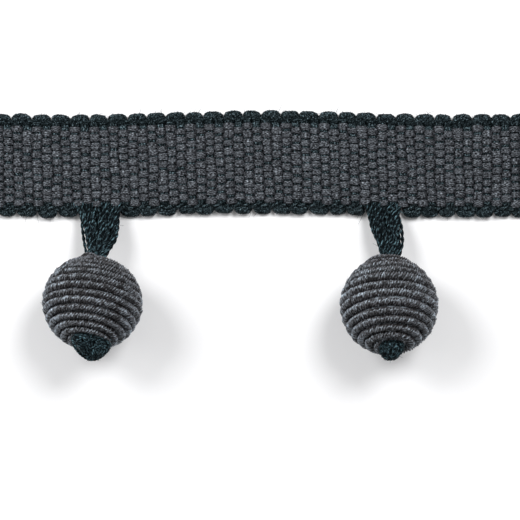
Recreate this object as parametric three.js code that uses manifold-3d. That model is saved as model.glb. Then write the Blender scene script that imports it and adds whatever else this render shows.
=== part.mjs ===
// Beaded fringe trim: a warp-faced woven tape with looped edges, and two thread-wound beads that
// hang below it on bundles of the dark weft yarn. The trim lies face up on a flat surface.
// Millimetres, +Z up. The surface is Z = 0, X runs along the tape and the beads lie towards -Y.
// The origin is under the middle of the tape, half way between the two hangers.

import * as THREE from 'three';
import * as BufferGeometryUtils from 'three/addons/utils/BufferGeometryUtils.js';
import Module from 'manifold-3d';

const wasm = await Module();
wasm.setup();

const pieceGap = 0.3; // clearance between neighbouring pieces
const mergeDistance = 1e-4;

// Woven tape
const tapeLength = 88;
const faceWidth = 12.4; // grey face between the looped edges
const tapeThickness = 1.8;
const tapeShoulder = 0.45; // the face rounds off over this much at both sides
const shoulderDrop = 0.5;
const pickCount = 60; // one low rib across the tape for each weft pick
const pickRibDepth = 0.22;
const pickRibFlat = 0.25; // the rib's level top reaches this share of a pick to both sides

// The tape doesn't lie quite straight
const waverHeight = 0.3;
const waverLength = 60;
const waverPeakX = 3;

// Looped edges, where the weft turns back: one loop for every two picks
const loopCount = 30;
const loopPitch = tapeLength / loopCount;
const loopSteps = 5;
const edgeWidth = 1.52;
const edgeHeight = 1.6;
const loopOutDepth = 0.42; // how far the notch between two loops reaches in
const loopTopDepth = 0.45; // and down
const loopUnevenness = 0.06;
const loopPhaseStep = 2.4; // radians from one loop to the next in that unevenness
const upperLoopShift = loopPitch / 2;
const lowerLoopShift = 0.6; // the lower turns join the picks between, which lean by this much
const edgeSection = [
  { across: 0, up: 0 },
  { across: 0, up: 0.62 },
  { across: 0.34, up: 1 },
  { across: 0.78, up: 0.86 },
  { across: 1, up: 0.42 },
  { across: 0.86, up: 0 },
];

// Hangers: weft yarns that run out of the lower edge, through a bead, to a knot under it
const rootWidth = 1.4;
const rootHeight = 1.3;
const rootSection = [
  { across: 1, up: 0 },
  { across: 0, up: 0 },
  { across: 0, up: 0.75 },
  { across: 0.3, up: 1 },
  { across: 0.8, up: 0.9 },
];
const strandThickness = 0.56;
const strandSteps = 7;
const strandPoints = 6;
const frontStrands = 7;
const backStrands = 6;
const strandRootInset = 0.4;
const layerOffset = 0.42; // the front layer of strands lies this far above the middle
const layerBulge = 0.3;
const strandWander = 0.1;
const strandPhaseStep = 1.9; // radians from one strand to the next in that wander
const looseGap = 0.5; // the left hanger's outer strand stands off by this much more
const stemRadius = 1.5; // the strands close up to this where they go through the bead
const stemSides = 10;
const stemReach = 0.75; // how far the closed bundle shows above the bead
const stemSpread = 1.05; // the outer strands end this far from its middle

// Thread-wound beads
const windingTurns = 14;
const windingStart = 17; // degrees from the pole at the knot
const windingEnd = 163;
const windingDepth = 0.34;
const windingFlat = 0.24; // a turn's level top reaches this share of a turn to both sides
const boreRadius = 1.85;
const beadSegments = 28;
const restFlatten = 0.15; // each bead is pressed in by this much where it rests

// Knots
const knotSegments = 12;
const knotRings = 8;
const knotLumps = 5;
const knotLumpDepth = 0.07;

// One hanger and its bead in each row. lean and tilt are the bead axis's angles in degrees: lean
// to the side, seen from above, and tilt of the knot's end up from the surface.
const hangers = [
  {
    side: 'left', rootX: -21.77, rootLength: 5.9, outerLoose: looseGap,
    beadX: -22.57, beadY: -20.66, beadRadius: 7.5, lean: 7, tilt: 24,
    knotRadius: 3, knotRise: 2.15, knotSeat: 0.4, knotHeight: 7.8, knotShift: 0.75,
  },
  {
    side: 'right', rootX: 21.77, rootLength: 5.2, outerLoose: 0,
    beadX: 22.3, beadY: -21.2, beadRadius: 7.4, lean: -3, tilt: 26,
    knotRadius: 1.95, knotRise: 1.95, knotSeat: 1.9, knotHeight: 7.65, knotShift: 0,
  },
];

// Yarn colours
const greyYarn = { color: 0x4b4f55, roughness: 0.85, metalness: 0 };
const darkYarn = { color: 0x26333a, roughness: 0.85, metalness: 0 };

const faceHalf = faceWidth / 2;
const edgeInner = faceHalf + pieceGap;
const pickPitch = tapeLength / pickCount;

// How far the tape lies off its straight centre line at x
function waverAt(x) {
  return waverHeight * Math.cos((2 * Math.PI * (x - waverPeakX)) / waverLength);
}

// A closed solid through a row of rings of points, each ring counterclockwise seen from the
// last one's side, with a fan of triangles over both ends
function loft(rings) {
  const sides = rings[0].length;
  const positions = rings.flat().flatMap((point) => point.toArray());
  const indices = [];
  for (let ring = 0; ring + 1 < rings.length; ring += 1) {
    for (let side = 0; side < sides; side += 1) {
      const here = ring * sides + side;
      const beside = ring * sides + ((side + 1) % sides);
      indices.push(here, beside, beside + sides);
      indices.push(here, beside + sides, here + sides);
    }
  }
  const last = (rings.length - 1) * sides;
  for (const [start, ring] of [[0, rings[0]], [last, rings[rings.length - 1]]]) {
    const middle = ring.reduce((sum, point) => sum.add(point), new THREE.Vector3());
    const centre = positions.length / 3;
    positions.push(...middle.divideScalar(sides).toArray());
    for (let side = 0; side < sides; side += 1) {
      const here = start + side;
      const beside = start + ((side + 1) % sides);
      indices.push(...(start === 0 ? [centre, beside, here] : [centre, here, beside]));
    }
  }
  const geometry = new THREE.BufferGeometry();
  geometry.setAttribute('position', new THREE.Float32BufferAttribute(positions, 3));
  geometry.setIndex(indices);
  return geometry;
}

function toSolid(geometry) {
  const bare = geometry.clone();
  bare.deleteAttribute('normal');
  bare.deleteAttribute('uv');
  const merged = BufferGeometryUtils.mergeVertices(bare, mergeDistance);
  return new wasm.Manifold(new wasm.Mesh({
    numProp: 3,
    vertProperties: merged.attributes.position.array,
    triVerts: new Uint32Array(merged.index.array),
  }));
}

function toGeometry(solid) {
  const mesh = solid.getMesh();
  const geometry = new THREE.BufferGeometry();
  geometry.setAttribute('position', new THREE.Float32BufferAttribute(mesh.vertProperties, 3));
  geometry.setIndex(Array.from(mesh.triVerts));
  return geometry;
}

function makeMesh(name, geometry, yarn) {
  geometry.computeVertexNormals();
  const mesh = new THREE.Mesh(geometry, new THREE.MeshStandardMaterial(yarn));
  mesh.name = name;
  return mesh;
}

// The tape's grey face: flat below, with a low rib for each pick above
function tapeGeometry() {
  const rings = [];
  const addRing = (x, top) => {
    const y = waverAt(x);
    const shoulder = faceHalf - tapeShoulder;
    const section = [
      [-faceHalf, 0], [faceHalf, 0], [faceHalf, top - shoulderDrop],
      [shoulder, top], [-shoulder, top], [-faceHalf, top - shoulderDrop],
    ];
    rings.push(section.map(([across, up]) => new THREE.Vector3(x, y + across, up)));
  };
  for (let pick = 0; pick < pickCount; pick += 1) {
    const middle = (pick + 0.5) * pickPitch - tapeLength / 2;
    addRing(middle - pickPitch / 2, tapeThickness - pickRibDepth);
    addRing(middle - pickRibFlat * pickPitch, tapeThickness);
    addRing(middle + pickRibFlat * pickPitch, tapeThickness);
  }
  addRing(tapeLength / 2, tapeThickness - pickRibDepth);
  return loft(rings);
}

// A stretch of looped edge from startX to endX. The loops are round lobes with sharp notches, and
// outward is +1 on the upper edge and -1 on the lower one.
function edgeGeometry(startX, endX, outward, shift) {
  const stations = [startX];
  const stepLength = loopPitch / loopSteps;
  const firstStep = Math.ceil((startX - shift) / stepLength + 0.5);
  for (let step = firstStep; step * stepLength + shift < endX - stepLength / 2; step += 1) {
    stations.push(step * stepLength + shift);
  }
  stations.push(endX);
  const rings = stations.map((x) => {
    const turn = (x - shift) / loopPitch;
    const offMiddle = 2 * Math.abs(turn - Math.round(turn));
    const lobe = Math.sqrt(1 - Math.min(1, offMiddle * offMiddle));
    const uneven = loopUnevenness * Math.sin(Math.round(turn) * loopPhaseStep);
    const width = edgeWidth + uneven - loopOutDepth * (1 - lobe);
    const height = edgeHeight - loopTopDepth * (1 - lobe);
    const ring = edgeSection.map(({ across, up }) => {
      const y = waverAt(x) + outward * (edgeInner + across * width);
      return new THREE.Vector3(x, y, up * height);
    });
    return outward > 0 ? ring.reverse() : ring;
  });
  return loft(rings);
}

// Turns a geometry from a bead's own frame, with its bore along Y and the knot's end at -Y, to
// how the bead lies
function turnAsBead(target, hanger) {
  target.rotateX(THREE.MathUtils.degToRad(-hanger.tilt));
  target.rotateZ(THREE.MathUtils.degToRad(-hanger.lean));
  return target;
}

function beadHeight(hanger) {
  return hanger.beadRadius - restFlatten;
}

// A bead's winding: one round rib for each turn of thread, around a bore that goes right through
function beadGeometry(hanger) {
  const turnAngle = (windingEnd - windingStart) / windingTurns;
  const profile = [];
  const addPoint = (degrees, radius) => {
    const angle = THREE.MathUtils.degToRad(degrees);
    profile.push(new THREE.Vector2(radius * Math.sin(angle), -radius * Math.cos(angle)));
  };
  const valleyRadius = hanger.beadRadius - windingDepth;
  for (let turn = 0; turn < windingTurns; turn += 1) {
    const middle = windingStart + (turn + 0.5) * turnAngle;
    addPoint(middle - turnAngle / 2, valleyRadius);
    addPoint(middle - windingFlat * turnAngle, hanger.beadRadius);
    addPoint(middle + windingFlat * turnAngle, hanger.beadRadius);
  }
  addPoint(windingEnd, valleyRadius);
  const boreHalf = Math.sqrt(valleyRadius ** 2 - boreRadius ** 2) - windingDepth;
  profile.push(new THREE.Vector2(boreRadius, boreHalf));
  profile.push(new THREE.Vector2(boreRadius, -boreHalf));
  profile.push(profile[0].clone());
  const geometry = turnAsBead(new THREE.LatheGeometry(profile, beadSegments), hanger);
  pressFlat(geometry, -beadHeight(hanger));
  return geometry;
}

// Moves every point that lies below the given height up to it, as on a resting bead
function pressFlat(geometry, height) {
  const points = geometry.attributes.position;
  for (let index = 0; index < points.count; index += 1) {
    points.setZ(index, Math.max(points.getZ(index), height));
  }
}

// One strand of a hanger, from the tape's edge to the closed bundle above the bead. share runs
// from -1 to 1 across the hanger, and layer is 1 in front and -1 behind.
function strandGeometry(hanger, share, layer, order) {
  const rootHalf = hanger.rootLength / 2 - strandRootInset;
  const loose = share === -1 && layer === 1 ? 0 : hanger.outerLoose;
  const rootShare = share + (loose * (1 - share)) / 2 / rootHalf;
  const rootX = hanger.rootX + rootShare * rootHalf;
  const rootY = waverAt(rootX) - edgeInner - rootWidth / 2;
  const root = new THREE.Vector3(rootX, rootY, rootHeight / 2 + (layer * layerOffset) / 2);
  const end = placeOnBead(hanger, share * stemSpread, hanger.beadRadius + stemReach / 2,
    layer * layerOffset);
  const points = [];
  for (let index = 0; index < strandPoints; index += 1) {
    const along = index / (strandPoints - 1);
    const arch = Math.sin(Math.PI * along);
    points.push(new THREE.Vector3(
      THREE.MathUtils.lerp(root.x, end.x, along * along)
        + strandWander * arch * Math.sin(order * strandPhaseStep),
      THREE.MathUtils.lerp(root.y, end.y, along),
      THREE.MathUtils.lerp(root.z, end.z, along) + layer * layerBulge * arch,
    ));
  }
  const half = strandThickness / 2;
  const section = new THREE.Shape([
    new THREE.Vector2(-half, -half),
    new THREE.Vector2(half, -half),
    new THREE.Vector2(half, half),
    new THREE.Vector2(-half, half),
  ]);
  return new THREE.ExtrudeGeometry(section, {
    steps: strandSteps,
    extrudePath: new THREE.CatmullRomCurve3(points),
    bevelEnabled: false,
  });
}

// A point of a bead's own frame, where the bead lies
function placeOnBead(hanger, across, along, up) {
  const point = new THREE.Vector3(across, along, up);
  point.applyAxisAngle(new THREE.Vector3(1, 0, 0), THREE.MathUtils.degToRad(-hanger.tilt));
  point.applyAxisAngle(new THREE.Vector3(0, 0, 1), THREE.MathUtils.degToRad(-hanger.lean));
  return point.add(new THREE.Vector3(hanger.beadX, hanger.beadY, beadHeight(hanger)));
}

// The narrow strip of the tape's edge that holds a hanger's strands
function rootGeometry(hanger) {
  const half = hanger.rootLength / 2;
  const rings = [-half, 0, half].map((offset) => {
    const x = hanger.rootX + offset;
    return rootSection.map(({ across, up }) => {
      const y = waverAt(x) - edgeInner - across * rootWidth;
      return new THREE.Vector3(x, y, up * rootHeight);
    });
  });
  return loft(rings);
}

// The lumpy knot under a bead: a ball whose outer half is drawn out by knotRise and whose inner
// half is pressed to knotSeat
function knotGeometry(hanger) {
  const geometry = new THREE.SphereGeometry(1, knotSegments, knotRings);
  const points = geometry.attributes.position;
  for (let index = 0; index < points.count; index += 1) {
    const point = new THREE.Vector3().fromBufferAttribute(points, index);
    const around = Math.atan2(point.z, point.x);
    const girth = Math.hypot(point.x, point.z);
    const lump = 1 + knotLumpDepth * girth * Math.sin(knotLumps * around + 2 * point.y);
    const reach = point.y < 0 ? hanger.knotRise : hanger.knotSeat;
    points.setXYZ(
      index,
      point.x * hanger.knotRadius * lump + hanger.knotShift,
      point.y * reach - hanger.knotHeight,
      point.z * hanger.knotRadius * lump,
    );
  }
  return turnAsBead(geometry, hanger);
}

// A hanger: the root strip, its strands in two layers, the closed bundle through the bead and
// the knot, all one piece of yarn
function hangerGeometry(hanger) {
  const stemTop = hanger.beadRadius + stemReach;
  const stemLength = stemTop + hanger.knotHeight;
  const stem = new THREE.CylinderGeometry(stemRadius, stemRadius, stemLength, stemSides);
  stem.translate(0, stemTop - stemLength / 2, 0);
  const beadPlace = [hanger.beadX, hanger.beadY, beadHeight(hanger)];
  const parts = [
    turnAsBead(stem, hanger).translate(...beadPlace),
    knotGeometry(hanger).translate(...beadPlace),
  ];
  for (const [layer, count] of [[-1, backStrands], [1, frontStrands]]) {
    const reach = layer > 0 ? 1 : (backStrands - 1) / (frontStrands - 1);
    for (let strand = 0; strand < count; strand += 1) {
      const share = reach * ((2 * strand) / (count - 1) - 1);
      parts.push(strandGeometry(hanger, share, layer, strand));
    }
  }
  const solid = parts.reduce(
    (joined, part) => joined.add(toSolid(part)),
    toSolid(rootGeometry(hanger)),
  );
  return toGeometry(solid);
}

const trim = new THREE.Group();
trim.add(makeMesh('tape', tapeGeometry(), greyYarn));

const upperEdge = edgeGeometry(-tapeLength / 2, tapeLength / 2, 1, upperLoopShift);
trim.add(makeMesh('edge_upper', upperEdge, darkYarn));

// The lower edge is broken where the two hangers leave it
const [leftHanger, rightHanger] = hangers;
const rootReach = (hanger) => hanger.rootLength / 2 + pieceGap;
const lowerStretches = [
  { name: 'edge_lower_left', from: -tapeLength / 2, to: leftHanger.rootX - rootReach(leftHanger) },
  {
    name: 'edge_lower_middle',
    from: leftHanger.rootX + rootReach(leftHanger),
    to: rightHanger.rootX - rootReach(rightHanger),
  },
  { name: 'edge_lower_right', from: rightHanger.rootX + rootReach(rightHanger), to: tapeLength / 2 },
];
for (const { name, from, to } of lowerStretches) {
  trim.add(makeMesh(name, edgeGeometry(from, to, -1, lowerLoopShift), darkYarn));
}

for (const hanger of hangers) {
  trim.add(makeMesh(`hanger_${hanger.side}`, hangerGeometry(hanger), darkYarn));
  const bead = makeMesh(`bead_${hanger.side}`, beadGeometry(hanger), greyYarn);
  bead.position.set(hanger.beadX, hanger.beadY, beadHeight(hanger));
  trim.add(bead);
}

export default trim;
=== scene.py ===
# Beaded fringe trim: a woven tape with looped edges, and two thread-wound beads on yarn hangers,
# lying face up on a pale floor under three soft lights.
import math

import bpy
import numpy as np
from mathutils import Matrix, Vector


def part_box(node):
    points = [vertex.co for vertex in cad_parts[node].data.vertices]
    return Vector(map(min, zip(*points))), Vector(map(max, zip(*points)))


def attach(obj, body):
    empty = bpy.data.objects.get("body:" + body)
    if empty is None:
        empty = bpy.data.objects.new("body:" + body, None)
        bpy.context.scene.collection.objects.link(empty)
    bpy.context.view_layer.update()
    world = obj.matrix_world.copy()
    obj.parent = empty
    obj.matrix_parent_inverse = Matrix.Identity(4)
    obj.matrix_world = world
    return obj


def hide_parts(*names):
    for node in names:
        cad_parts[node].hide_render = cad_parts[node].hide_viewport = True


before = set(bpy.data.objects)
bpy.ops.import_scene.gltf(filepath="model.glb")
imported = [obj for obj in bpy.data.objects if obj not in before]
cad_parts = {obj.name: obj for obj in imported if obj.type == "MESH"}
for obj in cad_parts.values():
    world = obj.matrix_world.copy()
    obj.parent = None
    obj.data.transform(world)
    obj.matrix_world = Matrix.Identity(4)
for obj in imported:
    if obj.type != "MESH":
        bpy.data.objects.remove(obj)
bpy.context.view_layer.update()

mm = 0.001  # shapes are worked out in millimetres, and meshes hold metres
upwards = np.array([0, 0, 1.0])
phaseSpread = 6  # radians that a random phase is drawn from, nearly a whole turn
patternStep = 37.1  # each yarn's colours start this much further along than its neighbour's


# A node's box, as its low and its high corner in millimetres
def boxOf(node):
    low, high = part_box(node)
    return np.array(low) / mm, np.array(high) / mm


print("stage: shared shape functions")


# Vectors divided by their own lengths
def unit(vectors):
    return vectors / np.linalg.norm(vectors, axis=-1, keepdims=True)


# The value at a share of the way from start to end
def mix(start, end, share):
    return start + (end - start) * share


# Rings of points around paths: point + across * sideways + up * raised, where sideways is the
# path's direction crossed with upward, and raised is sideways crossed with the direction
def ringsAlong(path, upward, across, up):
    direction = unit(np.gradient(path, axis=-2))
    sideways = unit(np.cross(direction, upward))
    raised = np.cross(sideways, direction)
    return (path[..., None, :] + across[..., None] * sideways[..., None, :]
            + up[..., None] * raised[..., None, :])


# The length from a path's start to each of its points: the sum of the steps before it
def lengthAlong(path):
    steps = np.linalg.norm(np.diff(path, axis=-2), axis=-1)
    start = np.zeros(path.shape[:-2] + (1,))
    return np.concatenate((start, np.cumsum(steps, axis=-1)), axis=-1)


# Strands of two plies twisted together: the radius is plyFill + (1 - plyFill) * |cos(around)|
# to the power of plyPower, times the whole, and the section turns once in every lead along the
# path. The tone is each strand's own, at random, and falls by plyShade * (1 - |cos(around)| to
# the power of narrow) towards the grooves. This is painted shade between the plies, and it
# leaves a narrow painted lit crest on each ply.
def twistedStrands(path, upward, radius, lead, sides, random,
                   plyFill=0.5, plyPower=1.3, plyShade=5, narrow=3):
    around = np.arange(sides) * 2 * np.pi / sides
    reach = plyFill + (1 - plyFill) * np.abs(np.cos(around)) ** plyPower
    phase = 2 * np.pi * random.random((len(path), 1))
    angle = (2 * np.pi * lengthAlong(path) / lead + phase)[..., None] + around
    size = radius[..., None] * reach
    tone = random.normal(size=(len(path), 1, 1)) - plyShade * (1 - np.abs(np.cos(around)) ** narrow)
    rings = ringsAlong(path, upward, size * np.cos(angle), size * np.sin(angle))
    return rings, np.broadcast_to(tone, rings.shape[:3])


strays = {
    "lean": 0.9, "curl": 0.45,  # how far a fibre leans along its yarn and curls, for a length of 1
    "shortest": 0.3,  # as a share of the longest
    "steps": 5, "sides": 3, "rootRadius": 0.034, "tipRadius": 0.014,
    "lowest": 0.03,  # height over the floor
    "offAxis": 0.1,  # keeps the sides' direction apart from the fibre's own
}


# Stray fibres: each leaves a random point of the given rings outwards, leans along the yarn and
# curls with the square of its length. It is three-sided and thins towards its tip.
def strayFibres(rings, count, length, random):
    yarn, step, side = (random.integers(size, size=count) for size in
                        (rings.shape[0], rings.shape[1] - 1, rings.shape[2]))
    start = rings[yarn, step, side]
    middle = rings[yarn, step].mean(axis=1)
    along = unit(rings[yarn, step + 1].mean(axis=1) - middle)
    lean = random.normal(size=(count, 1))
    towards = unit(unit(start - middle) + strays["lean"] * lean * along)
    curl = random.normal(size=(count, 1, 3))
    t = np.linspace(0, 1, strays["steps"])[:, None]
    reach = length * random.uniform(strays["shortest"], 1, size=(count, 1, 1))
    path = start[:, None] + reach * (t * towards[:, None] + strays["curl"] * t ** 2 * curl)
    path[..., 2] = np.maximum(path[..., 2], strays["lowest"])
    around = np.arange(strays["sides"]) * 2 * np.pi / strays["sides"]
    size = mix(strays["rootRadius"], strays["tipRadius"], t) * np.ones((count, 1, 1))
    tubes = ringsAlong(path, along[:, None] + strays["offAxis"],
                       size * np.cos(around), size * np.sin(around))
    return tubes, np.ones(tubes.shape[:3])


# How much of the lean is left at X: 1 less the fourth power of the way to the tape's cut end
def leanLeft(x):
    return 1 - (2 * x / tapeLength) ** 4


# Moves points of a straight, level tape to where the real one lies: the weave is a little uneven,
# as sines of x and y, picks lean from the upper edge to the lower one, and the whole wavers off
# its centre line as a cosine of x
def layOnTape(points):
    x, y = points[..., 0], points[..., 1]
    uneven = weave["unevenness"]
    moved = points.copy()
    moved[..., 0] = x + uneven * sum(np.sin(byX * x + byY * y + start)
                                     for byX, byY, start in weave["wavesAlong"])
    moved[..., 0] += weave["lean"] * (0.5 - y / tapeWidth) * leanLeft(x)
    byX, byY, start = weave["waveAcross"]
    across = weave["shift"] + weave["shareAcross"] * uneven * np.sin(byX * x + byY * y + start)
    moved[..., 1] = y + across + weave["waverHeight"] * np.cos(
        2 * np.pi * (moved[..., 0] - weave["waverPeakX"]) / weave["waverLength"])
    return moved


# Joins sets of tubes into one mesh. A set is rings of points (tubes, steps, sides, 3) and their
# tone (tubes, steps, sides). Four-sided faces run between neighbouring rings, both ends are
# capped, and nothing reaches below the floor.
# The map's U is the length along the yarn and its V the length around it, in millimetres.
def yarnPiece(name, tubeSets, material):
    points, tones, faces, corners = [], [], [], []
    start = 0
    for rings, tone in tubeSets:
        tubes, steps, sides = rings.shape[:3]
        index = start + np.arange(tubes * steps * sides).reshape(tubes, steps, sides)
        beside = np.roll(index, -1, axis=2)
        quads = np.stack((index[:, :-1], index[:, 1:], beside[:, 1:], beside[:, :-1]), axis=-1)
        along = lengthAlong(rings.mean(axis=2)) + patternStep * np.arange(tubes)[:, None]
        side = np.linalg.norm(np.roll(rings, -1, axis=2) - rings, axis=3).mean()
        around = np.arange(sides + 1) * side
        uv = np.zeros(quads.shape + (2,))
        uv[..., 0, 0] = uv[..., 3, 0] = along[:, :-1, None]
        uv[..., 1, 0] = uv[..., 2, 0] = along[:, 1:, None]
        uv[..., 0, 1] = uv[..., 1, 1] = around[:-1]
        uv[..., 2, 1] = uv[..., 3, 1] = around[1:]
        caps = np.concatenate((index[:, 0], index[:, -1, ::-1]))
        points.append(rings.reshape(-1, 3))
        tones.append(tone.ravel())
        faces += quads.reshape(-1, 4).tolist() + caps.tolist()
        corners += [uv.ravel(), np.zeros(caps.size * 2)]
        start += tubes * steps * sides
    mesh = bpy.data.meshes.new(name)
    points = np.maximum(np.concatenate(points), (-np.inf, -np.inf, 0))
    mesh.from_pydata(points * mm, [], faces)
    mesh.polygons.foreach_set("use_smooth", np.ones(len(faces), dtype=bool))
    mesh.uv_layers.new(name="yarn").data.foreach_set("uv", np.concatenate(corners))
    shades = mesh.attributes.new("tone", "FLOAT", "POINT")
    shades.data.foreach_set("value", np.concatenate(tones))
    mesh.materials.append(material)
    mesh.update()
    piece = bpy.data.objects.new(name, mesh)
    bpy.context.collection.objects.link(piece)
    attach(piece, "root")
    return piece


print("stage: yarn materials")

# Lengths are in millimetres: fibres are drawn out along fibreLength and fibreWidth at fibreTurn
# degrees to the yarn, and specks are speckLength by speckWidth. The colour turns to the fleck
# colour where the yarn is lightest: partly as spun flecks, where the noises lighten it, and
# partly as a painted highlight tint, where the painted light and shade in the tone lighten it.
# toneStrength is how much a tone of 1 lightens it.
yarnLooks = {
    "greyWarp": {
        "colour": (0.042, 0.043, 0.0495, 1), "fleckAndLitTint": (0.0405, 0.044, 0.0505, 1),
        "roughness": 0.4, "gloss": 0.25, "glossTint": (0.8, 0.93, 1, 1), "toneStrength": 0.035,
        "fibreStrength": 1, "fibreTurn": 20, "fibreLength": 0.5, "fibreWidth": 0.1,
        "speckStrength": 3.3, "speckLength": 0.3, "speckWidth": 0.2,
        "bump": 0.8, "bumpDepth": 0.06,
    },
    "greyCord": {
        "colour": (0.1, 0.09, 0.093, 1), "fleckAndLitTint": (0.092, 0.103, 0.12, 1),
        "roughness": 0.33, "gloss": 0.9, "glossTint": (0.7, 0.88, 1, 1), "toneStrength": 0.04,
        "fibreStrength": 2, "fibreTurn": 80, "fibreLength": 0.7, "fibreWidth": 0.17,
        "speckStrength": 1.3, "speckLength": 0.2, "speckWidth": 0.5,
        "bump": 0.8, "bumpDepth": 0.12,
    },
    "darkWeft": {
        "colour": (0.0122, 0.0192, 0.022, 1), "fleckAndLitTint": (0.0138, 0.0192, 0.022, 1),
        "roughness": 0.4, "gloss": 0.2, "glossTint": (0.6, 0.88, 1, 1), "toneStrength": 0.05,
        "fibreStrength": 1.6, "fibreTurn": 30, "fibreLength": 0.4, "fibreWidth": 0.1,
        "speckStrength": 4, "speckLength": 0.24, "speckWidth": 0.2,
        "bump": 0.8, "bumpDepth": 0.06,
    },
    "darkStrand": {
        "colour": (0.0215, 0.0315, 0.037, 1), "fleckAndLitTint": (0.0205, 0.037, 0.0435, 1),
        "roughness": 0.45, "gloss": 0.1, "glossTint": (0.55, 0.86, 1, 1), "toneStrength": 0.07,
        "fibreStrength": 1.4, "fibreTurn": 30, "fibreLength": 0.6, "fibreWidth": 0.09,
        "speckStrength": 3.9, "speckLength": 0.55, "speckWidth": 0.25,
        "bump": 0.6, "bumpDepth": 0.04,
    },
}
spinning = {
    "fleckFrom": 0.7, "fleckTo": 1.3,  # the lightness between which the colour turns to fleck
    "darkest": 0.5,  # the lightness doesn't fall below this
    "fibreDetail": 2, "speckDetail": 1,
}


# The lightness is 1 + tone * toneStrength + fibres + specks, where both noises count from their
# middle value, and the tone holds random tone together with painted shade and painted light.
# The colour and the gloss are multiplied by its cube, so the gloss also fades in the painted
# shade, and the noises also raise the surface.
def yarnMaterial(name, look):
    material = bpy.data.materials.new(name)
    material.use_nodes = True
    nodes, links = material.node_tree.nodes, material.node_tree.links
    shader = nodes["Principled BSDF"]
    shader.inputs["Roughness"].default_value = look["roughness"]
    shader.inputs["Specular Tint"].default_value = look["glossTint"]
    place = nodes.new("ShaderNodeUVMap")
    place.uv_map = "yarn"
    turn = nodes.new("ShaderNodeMapping")
    turn.inputs["Rotation"].default_value = (0, 0, math.radians(look["fibreTurn"]))
    links.new(place.outputs["UV"], turn.inputs["Vector"])

    # a noise drawn out to length along the yarn and width around it
    def noise(source, length, width, detail):
        stretch = nodes.new("ShaderNodeMapping")
        stretch.inputs["Scale"].default_value = (1 / length, 1 / width, 1)
        links.new(source, stretch.inputs["Vector"])
        texture = nodes.new("ShaderNodeTexNoise")
        texture.inputs["Scale"].default_value = 1
        texture.inputs["Detail"].default_value = detail
        links.new(stretch.outputs["Vector"], texture.inputs["Vector"])
        return texture.outputs["Fac"]

    # a node of arithmetic on numbers and sockets
    def combine(operation, values):
        node = nodes.new("ShaderNodeMath")
        node.operation = operation
        for socket, value in zip(node.inputs, values):
            if isinstance(value, (int, float)):
                socket.default_value = value
            else:
                links.new(value, socket)
        return node.outputs["Value"]

    fibres = noise(turn.outputs["Vector"], look["fibreLength"], look["fibreWidth"],
                   spinning["fibreDetail"])
    specks = noise(place.outputs["UV"], look["speckLength"], look["speckWidth"],
                   spinning["speckDetail"])
    tone = nodes.new("ShaderNodeAttribute")
    tone.attribute_name = "tone"
    level = 1 - 0.5 * (look["fibreStrength"] + look["speckStrength"])
    light = combine("MULTIPLY_ADD", (tone.outputs["Fac"], look["toneStrength"], level))
    light = combine("MULTIPLY_ADD", (fibres, look["fibreStrength"], light))
    light = combine("MULTIPLY_ADD", (specks, look["speckStrength"], light))
    flecks = nodes.new("ShaderNodeMapRange")
    flecks.inputs["From Min"].default_value = spinning["fleckFrom"]
    flecks.inputs["From Max"].default_value = spinning["fleckTo"]
    links.new(light, flecks.inputs["Value"])
    light = combine("POWER", (combine("MAXIMUM", (light, spinning["darkest"])), 3))
    spun = nodes.new("ShaderNodeMixRGB")
    spun.inputs["Color1"].default_value = look["colour"]
    spun.inputs["Color2"].default_value = look["fleckAndLitTint"]
    links.new(flecks.outputs["Result"], spun.inputs["Fac"])
    colour = nodes.new("ShaderNodeHueSaturation")
    links.new(spun.outputs["Color"], colour.inputs["Color"])
    links.new(light, colour.inputs["Value"])
    links.new(colour.outputs["Color"], shader.inputs["Base Color"])
    links.new(combine("MULTIPLY", (light, look["gloss"])), shader.inputs["Specular IOR Level"])
    bump = nodes.new("ShaderNodeBump")
    bump.inputs["Strength"].default_value = look["bump"]
    bump.inputs["Distance"].default_value = look["bumpDepth"] * mm
    links.new(combine("ADD", (fibres, specks)), bump.inputs["Height"])
    links.new(bump.outputs["Normal"], shader.inputs["Normal"])
    return material


yarns = {name: yarnMaterial(name, look) for name, look in yarnLooks.items()}

print("stage: tape")

weave = {
    "picks": 60, "warpYarns": 19,
    "lean": 0.6,  # the picks' lower ends lie this much further along
    "unevenness": 0.07,  # the height of its waves, each given as turn by x, turn by y and start
    "wavesAlong": ((0.83, 0.41, 0), (0.47, -0.9, 2)), "waveAcross": (1.3, 0.8, 1),
    "shareAcross": 0.5,
    "waverHeight": 0.3, "waverLength": 60, "waverPeakX": 3,  # as the tape's solid lies
    "shift": 0.2,  # the weave's place across the tape
    "lowerInset": 0.1, "upperInset": 0.38,  # bare weft at either side of the grey face
    "floatHeight": 0.25, "floatWidth": 1.05,  # half height and whole width of a warp float
    "floatTrim": 0.15,  # how much shorter a float is on the face than on the back
    "crossHeight": 0.3, "crossWidth": 0.86,  # the same where a warp yarn dives between picks
    "diveSharpness": 3.3, "crown": 0.3, "stepsPerPick": 10,
    "laneWander": 0.08, "heightWander": 0.03, "widthWander": 0.1,  # from float to float
    "threads": 4, "threadDepth": 0.1, "edgeDrop": 0.45,  # the outer threads lie lower by this
    "undersideX": (-0.8, 0, 0.8), "undersideZ": (0.85, 1, 0.85),  # as shares of its half size
    "rippleDepth": 0.07, "rippleLength": 0.46, "rippleStart": 2.1,
    # painted shade: diveShade where a warp yarn dives between picks, threadShade in the valleys
    # between threads and under each float, pickShade over the whole picks, which show in the gaps
    # between floats, and selvedgeShade on the pick ends beyond the face, under the loops
    "diveShade": 4, "threadShade": 3.5, "pickShade": 2, "selvedgeShade": 6,
    "pickWidth": 1.42, "pickOverhang": 0.3, "pickSteps": 70, "pickSides": 12,
    "pickLobes": 6, "lobeDepth": 0.07, "lobeTurn": 9,
    "pickBulge": 0.22, "bulgePower": 0.7,  # a pick swells up by this between two floats
    "pickSeed": 3,
}

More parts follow.
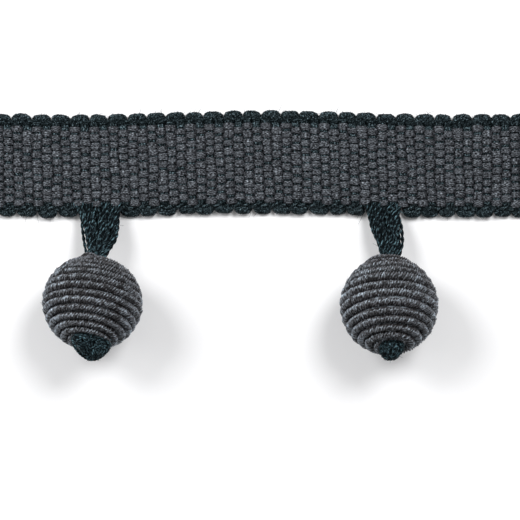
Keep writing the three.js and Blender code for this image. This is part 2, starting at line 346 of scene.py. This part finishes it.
tapeLow, tapeHigh = boxOf("tape")
tapeLength = tapeHigh[0] - tapeLow[0]
faceWidth = tapeHigh[1] - tapeLow[1] - 2 * weave["waverHeight"]
tapeThickness = tapeHigh[2]
tapeWidth = 2 * (boxOf("edge_upper")[1][1] - weave["waverHeight"])
pickPitch = tapeLength / weave["picks"]
lanePitch = (faceWidth - weave["lowerInset"] - weave["upperInset"]) / weave["warpYarns"]
laneMiddle = (weave["lowerInset"] - weave["upperInset"]) / 2
midHeight = tapeThickness / 2
floatLift = midHeight - weave["floatHeight"]
pickX = (np.arange(weave["picks"]) + 0.5) * pickPitch - tapeLength / 2


# Warp yarns: each runs along the tape at height midHeight + floatLift * dive, where dive is a
# cosine over two picks, lowered between its ends by floatTrim and squared off by tanh. A section
# is a flat band of four threads, wide on the floats and narrow where it dives. The tone differs
# at random from float to float and holds painted shade: it falls by diveShade where the yarn
# dives between picks, and by threadShade in the valleys between threads and under the float.
def warpTubes(yarnNumbers, random):
    steps = weave["stepsPerPick"]
    x = np.linspace(-0.5, 0.5, weave["picks"] * steps + 1) * tapeLength
    cell = np.minimum(np.arange(x.size) // steps, weave["picks"] - 1)
    lane = laneMiddle + (yarnNumbers - (weave["warpYarns"] - 1) / 2) * lanePitch
    wave = np.cos(np.pi * ((x - pickX[0]) / pickPitch + yarnNumbers[:, None]))
    wave = wave - weave["floatTrim"] * (1 - wave ** 2)
    squared = np.tanh(weave["diveSharpness"] * wave) / np.tanh(weave["diveSharpness"])
    dive = mix(squared, wave, weave["crown"])
    flat = squared ** 2
    count = (len(yarnNumbers), weave["picks"])
    path = np.zeros(wave.shape + (3,))
    path[..., 0] = x
    path[..., 1] = (lane[:, None]
                    + weave["laneWander"] * random.normal(size=count)[:, cell] * flat)
    path[..., 2] = (midHeight + floatLift * dive
                    + weave["heightWander"] * random.normal(size=count)[:, cell] * flat)
    halfWidth = mix(weave["crossWidth"], weave["floatWidth"], flat) / 2
    halfWidth = halfWidth * (1 + weave["widthWander"] * random.normal(size=count)[:, cell] * flat)
    halfHeight = mix(weave["crossHeight"], weave["floatHeight"], flat)
    points = np.arange(2 * weave["threads"] + 1)
    valley = points % 2 == 0
    overTop = np.linspace(1, -1, points.size)
    ridge = 1 - weave["edgeDrop"] * overTop ** 4
    ripple = weave["rippleDepth"] * np.sin(
        2 * np.pi * x[:, None] / weave["rippleLength"] + weave["rippleStart"] * points
        + phaseSpread * random.random((len(yarnNumbers), 1, 1)))
    upTop = halfHeight[..., None] * ridge - weave["threadDepth"] * valley
    upTop = upTop + ripple * ~valley * flat[..., None]
    upBelow = -halfHeight[..., None] * weave["undersideZ"]
    across = halfWidth[..., None] * np.append(overTop, weave["undersideX"])
    rings = ringsAlong(path, upwards, across, np.concatenate((upTop, upBelow), -1))
    tone = random.normal(size=count)[:, cell] - weave["diveShade"] * (1 - flat)
    # painted shade in the valleys between threads and on the float's underside
    paintedThreadShade = weave["threadShade"] * np.append(valley, np.ones(len(weave["undersideX"])))
    return layOnTape(rings), tone[..., None] - paintedThreadShade


# Weft picks: each runs across the tape at half its thickness, an oval bundle with shallow lobes
# that turn slowly around it. Its face swells by pickBulge * sin squared, to the power of
# bulgePower, over the warp yarns that pass under it, and its back over those that pass above.
# Its tone differs at random. It is less pickShade all over, painted shade for the gaps between
# floats where the picks show, and less selvedgeShade on the ends beyond the face, painted shade
# under the loops.
def pickTubes(random):
    steps, sides = weave["pickSteps"], weave["pickSides"]
    path = np.zeros((weave["picks"], steps, 3))
    path[..., 0] = pickX[:, None]
    path[..., 1] = np.linspace(-1, 1, steps) * (faceWidth / 2 + weave["pickOverhang"])
    path[..., 2] = midHeight
    around = np.arange(sides) * 2 * np.pi / sides
    turn = np.linspace(0, weave["lobeTurn"], steps)[:, None]
    turn = turn + phaseSpread * random.random((weave["picks"], 1, 1))
    lobes = 1 + weave["lobeDepth"] * np.cos(weave["pickLobes"] * around + turn)
    across = weave["pickWidth"] / 2 * np.cos(around) * lobes
    lane = (path[..., 1] - laneMiddle) / lanePitch + (weave["warpYarns"] - 1) / 2
    lane = lane + np.arange(weave["picks"])[:, None]
    over = np.sin(np.pi * lane / 2) ** 2
    over = np.where(np.sin(around) > 0, over[..., None], 1 - over[..., None])
    swell = weave["pickBulge"] * over ** weave["bulgePower"]
    height = floatLift - weave["floatHeight"] + swell
    rings = ringsAlong(path, upwards, across, height * np.sin(around) * lobes)
    # how far a point lies beyond the face, under the loops, where painted shade darkens it
    beside = np.clip((np.abs(path[..., 1]) - faceWidth / 2) / weave["upperInset"] + 1, 0, 1)
    tone = random.normal(size=rings.shape[:3]) - weave["selvedgeShade"] * beside[..., None]
    return layOnTape(rings), tone - weave["pickShade"]


weft = yarnPiece("weftPicks", [pickTubes(np.random.default_rng(weave["pickSeed"]))],
                 yarns["darkWeft"])
warpNumbers = np.arange(weave["warpYarns"])
warpPieces = [
    yarnPiece(name, [warpTubes(warpNumbers[first::2], np.random.default_rng(seed))],
              yarns["greyWarp"])
    for name, first, seed in (("warpEven", 0, 11), ("warpOdd", 1, 12))
]
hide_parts("tape")

print("stage: looped edges")

edging = {
    "strands": 11, "strandRadius": 0.22, "bundleRadius": 0.48, "coreRadius": 0.46, "lead": 1.4,
    # plyShade is painted shade in the grooves between the plies
    "steps": 26, "sides": 6, "plyFill": 0.65, "plyShade": 5, "flatness": 0.8,
    "halfGap": 0.92,  # from a loop's middle to the middle of either leg
    "reach": 0.78,  # a loop's middle line stays this far inside the tape's edge
    "archHeight": 0.66, "squareness": 0.45, "legLength": 0.8, "legNarrow": 0.75, "legDip": 0.3,
    "legShare": 0.18, "shapeSteps": 801,  # either leg's share of the steps that trace a loop
    "rise": -0.25,  # the arch's height over the tape's middle
    "bundleTurn": 1.6,  # half turns of the strands round a loop's line
    "upperUneven": 0.05, "lowerUneven": 0.09, "heightUneven": 1.2,  # from loop to loop
    "gapWander": 0.03, "bundleWander": 0.06, "strandWander": 0.1,
    "cordOut": (0.3, 0.55), "cordHeight": (0.92, 0.6), "cordRadius": (0.54, 0.48),
    # cordShade is painted shade on the cords, which lie in the crevice between the loops and the
    # face
    "cordSteps": 4, "cordSides": 10, "cordShade": (0, 5),  # shade of the lower and upper cords
    "endReach": 0.15, "fibres": 520, "fibreLength": 1,
}


# Where a point of an edge lies before layOnTape moves it along: x less its share of the lean
def beforeLean(x, outward):
    return x - weave["lean"] * (0.5 - 0.5 * outward) * leanLeft(x)


# A loop of weft at even steps of its length: a leg out of the tape, an arch and a leg back. Over
# the arch, x follows cos(angle) and y sin(angle), both to the power of squareness.
def loopShape():
    legs = edging["legShare"]
    t = np.linspace(0, 1, edging["shapeSteps"])
    angle = np.clip((t - legs) / (1 - 2 * legs), 0, 1) * np.pi
    leg = np.clip(1 - t / legs, 0, 1) + np.clip((t - 1 + legs) / legs, 0, 1)
    arch = np.clip(np.sin(angle), 0, 1) ** edging["squareness"]
    side = -np.sign(np.cos(angle)) * np.abs(np.cos(angle)) ** edging["squareness"]
    line = np.stack((edging["halfGap"] * side,
                     edging["archHeight"] * arch - edging["legLength"] * leg, 0 * t), axis=-1)
    length = lengthAlong(line)
    even = np.linspace(0, length[-1], edging["steps"])
    return (np.interp(even, length, part) for part in (side, arch, leg))


# Loops round the given middles along an edge: twisted strands lie round the shape's line, at
# cosine and sine of an angle that grows slowly along it, and a core strand fills their middle
def loopTubes(middles, outward, uneven, random):
    count, steps = len(middles), edging["steps"]
    side, arch, leg = loopShape()
    archHeight = edging["archHeight"] * (1 + uneven * random.normal(size=(count, 1)))
    start = tapeWidth / 2 - edging["reach"] - edging["archHeight"]
    half = edging["halfGap"] * (1 + edging["gapWander"] * random.normal(size=(count, 1)))
    path = np.zeros((count, steps, 3))
    path[..., 0] = middles[:, None] + uneven * random.normal(size=(count, 1)) + half * side
    path[..., 1] = outward * (start - edging["legLength"] * leg + archHeight * arch)
    path[..., 2] = midHeight - edging["legDip"] * (1 - arch) + edging["rise"] * arch
    path[..., 2] += edging["heightUneven"] * uneven * random.normal(size=(count, 1)) * arch
    width = mix(edging["legNarrow"], 1, arch)
    strand = np.arange(edging["strands"]) * 2 * np.pi / edging["strands"]
    turn = np.linspace(0, edging["bundleTurn"] * np.pi, steps)[:, None] + strand
    turn = turn + phaseSpread * random.random((count, 1, 1))
    wander = edging["bundleWander"] * random.normal(size=(count, 1, edging["strands"]))
    away = edging["bundleRadius"] * (1 + wander)
    away = away * width[:, None]
    centres = ringsAlong(path, upwards, away * np.cos(turn),
                         edging["flatness"] * away * np.sin(turn))
    strands = centres.transpose(0, 2, 1, 3).reshape(-1, steps, 3)
    wander = edging["strandWander"] * random.normal(size=(len(strands), 1))
    size = edging["strandRadius"] * (1 + wander) * width
    strands = np.concatenate((strands, path))
    size = np.concatenate((size, edging["coreRadius"] * width * np.ones((count, 1))))
    rings, tone = twistedStrands(strands, upwards, size, edging["lead"], edging["sides"], random,
                                 plyFill=edging["plyFill"], plyShade=edging["plyShade"])
    return layOnTape(rings), tone


# The two-ply cords that the loops close over: straight lines just outside the grey face
def selvedgeTubes(start, end, outward, random):
    out, height, radius = (np.array(edging[part])[:, None] for part in
                           ("cordOut", "cordHeight", "cordRadius"))
    x = np.linspace(start, end, round((end - start) * edging["cordSteps"]))
    path = np.zeros((len(out), x.size, 3))
    path[..., 0] = beforeLean(x, outward)
    path[..., 1] = outward * (faceWidth / 2 + out)
    path[..., 2] = height
    rings, tone = twistedStrands(path, upwards, radius * np.ones(path.shape[:2]), loopPitch,
                                 edging["cordSides"], random)
    # the cords are darkened by cordShade as painted shade in the crevice under the loops
    return layOnTape(rings), tone - edging["cordShade"][(outward + 1) // 2]


# A stretch of looped edge in place of its solid: loops, cords and fibres. outward is 1 at the
# upper edge and -1 at the lower one.
def loopPiece(name, node, middles, outward, uneven, seed):
    random = np.random.default_rng(seed)
    loops = loopTubes(middles, outward, uneven, random)
    cords = selvedgeTubes(boxOf(node)[0][0], boxOf(node)[1][0], outward, random)
    count = round(edging["fibres"] * len(middles) / (weave["picks"] / 2))
    fibres = strayFibres(loops[0], count, edging["fibreLength"], random)
    piece = yarnPiece(name, [loops, cords, fibres], yarns["darkWeft"])
    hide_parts(node)
    return piece


loopPitch = 2 * pickPitch
upperMiddles = np.arange(pickPitch - tapeLength / 2, tapeLength / 2, loopPitch)
upperLoops = loopPiece("edgeLoopsUpper", "edge_upper", upperMiddles, 1,
                       edging["upperUneven"], 21)

for name, node, seed in (("edgeLoopsLowerLeft", "edge_lower_left", 22),
                         ("edgeLoopsLowerMiddle", "edge_lower_middle", 23),
                         ("edgeLoopsLowerRight", "edge_lower_right", 24)):
    low, high = boxOf(node)
    count = round((high[0] - low[0]) / loopPitch)
    low, high = low[0] - edging["endReach"], high[0] + edging["endReach"]
    spread = low + (np.arange(count) + 0.5) * (high - low) / count
    loopPiece(name, node, beforeLean(spread, -1), -1,
                                edging["lowerUneven"], seed)

print("stage: hangers, beads and knots")

# lean and tilt are the bead axis's angles in degrees, as in the solids: lean to the side seen
# from above, and tilt of the knot's end up from the floor. swell is how much larger the ball is
# than its solid: everywhere, towards the knot, and at both ends. lip lifts the cord at the
# bore's mouth by a height, at a turn, over a stretch of turns. bow moves the middle turns by
# degrees away from the knot. poleShade darkens the turns near the tape as painted shade, and
# where it is below nought it lightens them as painted light.
beads = {
    "left": {"lean": 7, "tilt": 24, "seed": 31, "turns": 14.4, "startAngle": 18,
             "cordRadius": 0.61, "swell": (0.12, 0.41, -0.43), "lip": (0.6, 14.06, 0.07),
             "bow": 0, "poleShade": 0.5},
    "right": {"lean": -3, "tilt": 26, "seed": 41, "turns": 12.7, "startAngle": 15.3,
              "cordRadius": 0.67, "swell": (0.05, 0.25, 0.1), "lip": (0.4, 11.99, 0.24),
              "bow": -2.5, "poleShade": -1.5},
}
winding = {
    "firstTurn": 0.3, "endAngle": 158, "stepsPerTurn": 1200,
    "driftTurns": 0.5, "unevenness": 0.7, "liftHeight": 0.02,  # random changes at every half turn
    "tuckTurns": 0.3,  # over which either end goes into the bore
    "sectionLean": 0.4,  # the cord's crest leans towards the tape
    # a section's points in degrees, over the crest and inside, and the inner ones' slant, which
    # over the crest grows with the angle
    "crestAngles": (-20, 200), "crestPoints": 9, "innerAngles": (240, 300),
    "innerSlant": (40, -40),
    "ridgePitch": 0.42, "ridgeLead": 1.68,  # the fine wraps run round the cord as a screw
    # wrapShade paints shade between the fine wraps, and wrapTones differ at random from wrap to
    # wrap
    "ridgeDepth": 0.19, "ridgeSteps": 4, "wrapUnevenness": 0.03, "wrapTones": 2, "wrapShade": 8,
    "poleAngles": (92, 120),  # near the tape starts at the first and is full at the second
    # painted light and shade on each turn: flankShade darkens it away from its painted lit crest,
    # most on the flank towards the knot, flankNarrow and crestTurn set the width and the place of
    # that crest, and sideLight paints light at the bead's sides
    "flankShade": (7, 15), "flankNarrow": (3, 4), "crestTurn": (32, 8), "sideLight": 3,
    "coreInset": 0.8, "coreRings": 30, "coreSides": 40, "coreTone": -3,
    "fibres": 160, "fibreLength": 0.5,
}


# The frame of a bead: its middle, radius and the directions across its bore, up from it and
# along it towards the tape
def beadFrame(side):
    low, high = boxOf("bead_" + side)
    radius = (high[0] - low[0]) / 2
    middle = np.array([(low[0] + high[0]) / 2, (low[1] + high[1]) / 2, high[2] - radius])
    tilt, lean = math.radians(beads[side]["tilt"]), math.radians(beads[side]["lean"])
    flatAlong = np.array([math.sin(lean), math.cos(lean), 0])
    along = flatAlong * math.cos(tilt) - np.array([0, 0, math.sin(tilt)])
    across = np.array([math.cos(lean), -math.sin(lean), 0])
    return middle, radius, across, np.cross(across, along), along


# The ball's radius at an angle from the knot's pole: a square function of the angle's cosine
def ballRadius(side, angle):
    even, towardsKnot, ends = beads[side]["swell"]
    return beadFrame(side)[1] + even + towardsKnot * np.cos(angle) + ends * np.cos(angle) ** 2


# The wound cord: a spiral over the ball from pole to pole. Its middle lies at the ball's radius
# less the cord's, at an angle from the knot's pole that grows evenly with the turns, and both
# ends are tucked into the bore. A ring of the cord is slanted by ridgeLead for a whole turn
# around it, and its radius falls by ridgeDepth between the fine wraps. The tone differs at random
# from half turn to half turn and from wrap to wrap, and holds painted light and shade. It falls by
# wrapShade between the fine wraps and by flankShade * (1 - sin(around + crestTurn) to the power of
# flankNarrow), which paints a lit crest on each turn and shade on its flank towards the knot,
# with the first of each pair of values at the middle and the second near the tape. It falls by
# poleShade near the tape, and rises by sideLight at the sides as painted light.
def cordTubes(side, random):
    middle, _, across, up, along = beadFrame(side)
    turns, cordRadius = beads[side]["turns"], beads[side]["cordRadius"]
    turn = np.linspace(0, turns, round(winding["stepsPerTurn"] * turns))
    marks = np.arange(0, turns + winding["driftTurns"], winding["driftTurns"])
    drift, lift, shade = (np.interp(turn, marks, random.normal(size=marks.size))
                          for _ in range(3))
    angle = mix(beads[side]["startAngle"], winding["endAngle"], turn / turns)
    angle = angle + beads[side]["bow"] * np.sin(np.pi * turn / turns)
    poleward = np.interp(angle, winding["poleAngles"], (0, 1))
    angle = np.radians(angle + winding["unevenness"] * drift)
    spin = 2 * np.pi * (turn + winding["firstTurn"])
    flat = np.cos(spin)[:, None] * across + np.sin(spin)[:, None] * up
    outward = np.sin(angle)[:, None] * flat - np.cos(angle)[:, None] * along
    tuck = np.clip(1 - np.minimum(turn, turns - turn) / winding["tuckTurns"], 0, 1) ** 2
    lipHeight, lipTurn, lipWidth = beads[side]["lip"]
    lip = lipHeight * np.exp(-((turn - lipTurn) / lipWidth) ** 2)
    ball = (ballRadius(side, angle) - cordRadius + winding["liftHeight"] * lift + lip
            - 2 * cordRadius * tuck)
    path = middle + ball[:, None] * outward
    length = lengthAlong(path)
    overCrest = np.linspace(*winding["crestAngles"], winding["crestPoints"])
    around = np.radians(np.append(overCrest, winding["innerAngles"]))
    slant = np.append(overCrest - overCrest.mean(), winding["innerSlant"])
    slant = winding["ridgeLead"] * slant / 360
    station = np.arange(0, length[-1], winding["ridgePitch"] / winding["ridgeSteps"])
    reach = np.clip(station[:, None] + slant, 0, length[-1])

    # values along the path, read at the slanted rings
    def at(values):
        return np.stack([np.interp(reach, length, part) for part in values.T], axis=-1)

    direction = unit(at(np.gradient(path, axis=0)))
    sideways = unit(np.cross(direction, at(outward)))
    raised = np.cross(sideways, direction)
    wraps = 0.5 - 0.5 * np.cos(2 * np.pi * station / winding["ridgePitch"])
    wrap = np.round(station / winding["ridgePitch"]).astype(int)
    grain, girth = random.normal(size=(2, wrap[-1] + 1))[:, wrap]
    size = cordRadius - winding["ridgeDepth"] * wraps + winding["wrapUnevenness"] * girth
    lean = 1 + winding["sectionLean"] * np.cos(around)
    rings = at(path) + size[:, None, None] * (
        np.cos(around)[:, None] * sideways + (np.sin(around) * lean)[:, None] * raised)
    poleward = np.interp(station, length, poleward)
    tone = (np.interp(station, length, shade) + winding["wrapTones"] * grain
            - winding["wrapShade"] * wraps - beads[side]["poleShade"] * poleward
            + winding["sideLight"] * np.interp(station, length, np.cos(spin) ** 2))
    shade, narrow, crestTurn = (mix(*winding[part], poleward)[:, None] for part in
                                ("flankShade", "flankNarrow", "crestTurn"))
    # the painted lit crest of each turn, with painted shade over the rest of the section
    crest = np.clip(np.sin(around + np.radians(crestTurn)), 0, 1) ** narrow
    return rings[None], (tone[:, None] - shade * (1 - crest))[None]


# The ball that shows as shade between the turns: rings of radius ball * sin(angle), at
# -ball * cos(angle) along the bore
def coreTubes(side):
    middle, _, _, up, along = beadFrame(side)
    coreRings, coreSides = winding["coreRings"], winding["coreSides"]
    angle = np.radians(np.linspace(beads[side]["startAngle"], winding["endAngle"], coreRings))
    ball = ballRadius(side, angle) - winding["coreInset"]
    path = middle - (ball * np.cos(angle))[:, None] * along
    around = np.arange(coreSides) * 2 * np.pi / coreSides
    girth = (ball * np.sin(angle))[:, None]
    rings = ringsAlong(path, up, girth * np.cos(around), girth * np.sin(around))
    return rings[None], winding["coreTone"] * np.ones((1, coreRings, coreSides))


# A hanger's outline at even steps from the tape to the bead, as the X of its outermost strands
# and of a loose one that stands apart from them. leftRoot and rightRoot move the outermost roots
# along the tape.
hangers = {
    "left": {
        "leftEdge": (-24.2, -24.15, -23.92, -23.55, -23.2, -22.9),
        "rightEdge": (-18.9, -18.95, -18.95, -19.25, -20.5, -21.2),
        "looseStrand": (-24.5, -24.42, -24.42, -24.13, -23.72, -23.2),
        "leftRoot": -1.4, "rightRoot": 0.2,
    },
    "right": {
        "leftEdge": (19.35, 19.5, 19.85, 20.8, 21.3, 21.5),
        "rightEdge": (23.9, 23.75, 23.94, 24.03, 23.75, 23.4),
        "looseStrand": (24.1, 24, 24.43, 24.54, 24, 23.6),
        "leftRoot": -0.5, "rightRoot": 0.5,
    },
}
hanging = {
    "front": 13, "back": 13, "strandRadius": 0.28, "lead": 2.2, "steps": 70, "sides": 10,
    # plyShade is painted shade in the grooves between the plies, and narrow keeps the painted lit
    # crest of each ply narrow
    "plyShade": 9, "narrow": 5,
    "backShare": (0.05, 0.95),  # the back layer's reach between the outline's edges
    "looseLayer": 0.6,  # the loose strand's layer, where 1 is the front one and -1 the back one
    "layerOffset": 0.26, "layerBulge": 0.2,
    "rootUnder": 0.5, "rootHeight": 1.05, "climbPower": 1.2, "depthInBore": 1.5,
    "rootTurn": 0.35,  # the roots' move dies out over this share of the way
    "wander": 0.08, "waves": (0.7, 1.6),  # how far a strand sways, and how many times
    "smoothSteps": 13, "heightWander": 0.08, "radiusWander": 0.06,
    "fibres": 45, "fibreLength": 1.1,
}


# Strands of a hanger: they leave the tape under its lowest floats and run to the bead's bore.
# x is mixed between the outline's edges and sways as a sine, y falls evenly, and z climbs from
# the tape to the bore, with the two layers bulged apart in the middle.
def strandTubes(side, random):
    middle, radius, _, _, along = beadFrame(side)
    outline = hangers[side]
    front, back = hanging["front"], hanging["back"]
    share = np.concatenate((np.linspace(0, 1, front),
                            np.linspace(*hanging["backShare"], back), [0]))
    layer = np.concatenate((np.ones(front), -np.ones(back), [hanging["looseLayer"]]))
    count = share.size
    t = np.linspace(0, 1, hanging["steps"])
    marks = np.linspace(0, 1, len(outline["leftEdge"]))
    left, right, loose = (np.interp(t, marks, outline[edge])
                          for edge in ("leftEdge", "rightEdge", "looseStrand"))
    soft = np.hanning(hanging["smoothSteps"])
    soft = soft / soft.sum()
    x = mix(left, right, share[:, None])
    x[-1] = loose
    x = np.pad(x, ((0, 0), (soft.size // 2, soft.size // 2)), "edge")
    x = np.apply_along_axis(lambda row: np.convolve(row, soft, "valid"), 1, x)
    near = np.clip(1 - t / hanging["rootTurn"], 0, 1) ** 2
    x = x + near * mix(outline["leftRoot"], outline["rightRoot"], share[:, None])
    arch = np.sin(np.pi * t)
    waves = random.uniform(*hanging["waves"], size=(count, 1))
    sway = np.sin(2 * np.pi * waves * t + phaseSpread * random.random((count, 1)))
    sway = sway * (1 + layer[:, None])
    end = middle + (radius - hanging["depthInBore"]) * along
    path = np.zeros((count, hanging["steps"], 3))
    inside = 4 * share * (1 - share)  # 0 at the outline and 1 in the middle
    path[..., 0] = x + hanging["wander"] * arch * sway * inside[:, None]
    path[..., 1] = mix(hanging["rootUnder"] - faceWidth / 2, end[1], t)
    path[..., 2] = mix(hanging["rootHeight"], end[2], t ** hanging["climbPower"])
    path[..., 2] += layer[:, None] * (hanging["layerOffset"] + hanging["layerBulge"] * arch)
    path[..., 2] += hanging["heightWander"] * random.normal(size=(count, 1)) * arch
    size = hanging["strandRadius"] * (1 + hanging["radiusWander"] * random.normal(size=(count, 1)))
    size = size * np.ones(hanging["steps"])
    return twistedStrands(path, upwards, size, -hanging["lead"], hanging["sides"], random,
                          plyShade=hanging["plyShade"], narrow=hanging["narrow"])


# radius, rise and seat are a knot's sizes across the bore, away from the bead and towards it,
# and height is its distance from the bead's middle. shift is its place off the bore's middle,
# skew moves its tip aside, and taper draws its outer half to a cone.
knots = {
    "left": {"radius": 3.2, "rise": 2.95, "seat": 0.9, "height": 6.9, "shift": 0.5,
             "skew": 0.6, "taper": 1.5, "loops": 90},
    "right": {"radius": 1.95, "rise": 1.95, "seat": 1.7, "height": 7.3, "shift": -0.1,
              "skew": -0.3, "taper": 1.05, "loops": 54},
}
knotting = {
    # plyShade is painted shade in the grooves between the plies
    "strandRadius": 0.19, "lead": 1, "steps": 26, "sides": 6, "plyShade": 4, "shade": 1.3,
    "arc": 0.55, "poleSpread": (1, 1.3, 1), "offset": 0.45, "depth": (0.86, 0.93),
    "lumps": 3, "lumpDepth": 0.06, "lumpLean": 2, "lumpStart": 1,
    "bodyInset": 0.84, "bodyTone": -3, "bodyRings": 20, "bodySides": 28, "bodyReach": 0.47,
    "fibres": 110, "fibreLength": 0.8,
}


# A point of a knot for a direction given across, along and up: the girth is the direction's own
# to the power of taper, with shallow lumps, and the reach along the bore is rise or seat
def onKnot(side, direction):
    middle, _, across, up, along = beadFrame(side)
    look = knots[side]
    girth = np.hypot(direction[..., 0], direction[..., 2])
    girth = np.clip(girth, 1e-6, None)  # never nought, as it divides
    outer = direction[..., 1] < 0
    narrowed = np.where(outer, girth ** look["taper"], girth) / girth
    angle = np.arctan2(direction[..., 2], direction[..., 0])
    wave = np.sin(knotting["lumps"] * angle + knotting["lumpLean"] * direction[..., 1]
                  + knotting["lumpStart"])
    lump = 1 + knotting["lumpDepth"] * girth * wave
    reach = np.where(outer, look["rise"], look["seat"])
    size = look["radius"] * narrowed * lump
    skew = look["skew"] * np.clip(-direction[..., 1], 0, 1)[..., None]
    return (middle + (look["shift"] + skew) * across - look["height"] * along
            + (size * direction[..., 0])[..., None] * across
            + (reach * direction[..., 1])[..., None] * along
            + (size * direction[..., 2])[..., None] * up)


# A knot: a lumpy body under strands that each follow an arc of a circle over it, as cosine and
# sine of the way along it, moved off the middle by up to offset
def knotTubes(side, random):
    count, steps = knots[side]["loops"], knotting["steps"]
    pole = unit(random.normal(size=(count, 3)) * knotting["poleSpread"])
    first = unit(np.cross(pole, random.normal(size=(count, 3))))
    second = np.cross(pole, first)
    t = np.linspace(0, knotting["arc"] * np.pi, steps)[None, :, None]
    circle = np.cos(t) * first[:, None] + np.sin(t) * second[:, None]
    offset = random.uniform(-knotting["offset"], knotting["offset"], size=(count, 1, 1))
    direction = unit(circle + offset * pole[:, None])
    depth = random.uniform(*knotting["depth"], size=(count, 1, 1))
    path = onKnot(side, direction * depth)
    size = knotting["strandRadius"] * np.ones((count, steps))
    centre = onKnot(side, np.zeros(3))
    rings, tone = twistedStrands(path, unit(path - centre), size, knotting["lead"],
                                 knotting["sides"], random, plyShade=knotting["plyShade"])
    bodyRings, bodySides = knotting["bodyRings"], knotting["bodySides"]
    reach = knotting["bodyReach"]
    polar = np.linspace(-reach, reach, bodyRings)[:, None] * np.pi
    around = np.arange(bodySides) * 2 * np.pi / bodySides
    body = np.stack((np.cos(polar) * np.cos(around), -np.sin(polar) * np.ones(bodySides),
                     np.cos(polar) * np.sin(around)), axis=-1)
    body = onKnot(side, body * knotting["bodyInset"])
    bodyTone = knotting["bodyTone"] * np.ones((1, bodyRings, bodySides))
    return [(rings, tone - knotting["shade"]), (body[None], bodyTone)]


for side, bead in beads.items():
    random = np.random.default_rng(bead["seed"])
    cord = cordTubes(side, random)
    fuzz = strayFibres(cord[0], winding["fibres"], winding["fibreLength"], random)
    beadPiece = yarnPiece("beadCord" + side.title(), [cord, coreTubes(side), fuzz],
                          yarns["greyCord"])
    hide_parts("bead_" + side)
    strands = strandTubes(side, random)
    fuzz = strayFibres(strands[0], hanging["fibres"], hanging["fibreLength"], random)
    hanger = yarnPiece("hangerStrands" + side.title(), [strands, fuzz], yarns["darkStrand"])
    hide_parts("hanger_" + side)
    knot = knotTubes(side, random)
    fuzz = strayFibres(knot[0][0], knotting["fibres"], knotting["fibreLength"], random)
    yarnPiece("knotYarn" + side.title(), knot + [fuzz], yarns["darkStrand"])

print("stage: floor, lights and camera")

studio = {
    "floorSize": 4, "floorColour": (0.86, 0.86, 0.87, 1), "floorRoughness": 0.9,
    "worldColour": (1, 1, 1, 1), "worldStrength": 0.34, "lightDistance": 0.7,
    "viewWidth": 79.56, "viewMiddle": (2.75, -14.5), "viewDistance": 550, "viewEnd": 10,
}
# a light stands against the way its shadow falls, given over its height
softLights = {
    "lightLeft": {"shadow": (6.5, -4.6), "height": 7.4, "size": 0.34, "power": 3.15},
    "fillLeft": {"shadow": (15, -2), "height": 7.4, "size": 0.4, "power": 1.2},
    "lightRight": {"shadow": (-4, -4.6), "height": 7.4, "size": 0.34, "power": 3.8},
}

half = studio["floorSize"] / 2
floorMesh = bpy.data.meshes.new("floor")
floorMesh.from_pydata([(-half, -half, 0), (half, -half, 0), (half, half, 0), (-half, half, 0)],
                      [], [(0, 1, 2, 3)])
floor = bpy.data.objects.new("floor", floorMesh)
bpy.context.collection.objects.link(floor)
floorPaint = bpy.data.materials.new("paleFloor")
floorPaint.use_nodes = True
floorShader = floorPaint.node_tree.nodes["Principled BSDF"]
floorShader.inputs["Base Color"].default_value = studio["floorColour"]
floorShader.inputs["Roughness"].default_value = studio["floorRoughness"]
floorMesh.materials.append(floorPaint)

world = bpy.data.worlds.new("studio")
bpy.context.scene.world = world
world.use_nodes = True
sky = world.node_tree.nodes["Background"]
sky.inputs["Strength"].default_value = studio["worldStrength"]
sky.inputs["Color"].default_value = studio["worldColour"]

for name, light in softLights.items():
    data = bpy.data.lights.new(name, "AREA")
    data.shape = "DISK"
    data.size = light["size"]
    data.energy = light["power"]
    lamp = bpy.data.objects.new(name, data)
    bpy.context.collection.objects.link(lamp)
    shadowX, shadowY = light["shadow"]
    towards = Vector((-shadowX, -shadowY, light["height"])).normalized()
    middle = Vector((studio["viewMiddle"][0] * mm, studio["viewMiddle"][1] * mm, 0))
    lamp.location = middle + towards * studio["lightDistance"]
    lamp.rotation_mode = "QUATERNION"
    lamp.rotation_quaternion = towards.to_track_quat("Z", "Y")

cameraData = bpy.data.cameras.new("camera")
cameraData.lens = cameraData.sensor_width * studio["viewDistance"] / studio["viewWidth"]
cameraData.clip_end = studio["viewEnd"]
camera = bpy.data.objects.new("camera", cameraData)
bpy.context.collection.objects.link(camera)
viewX, viewY = studio["viewMiddle"]
camera.location = (viewX * mm, viewY * mm, (tapeThickness + studio["viewDistance"]) * mm)
bpy.context.scene.camera = camera
bpy.context.scene.view_settings.view_transform = "Standard"
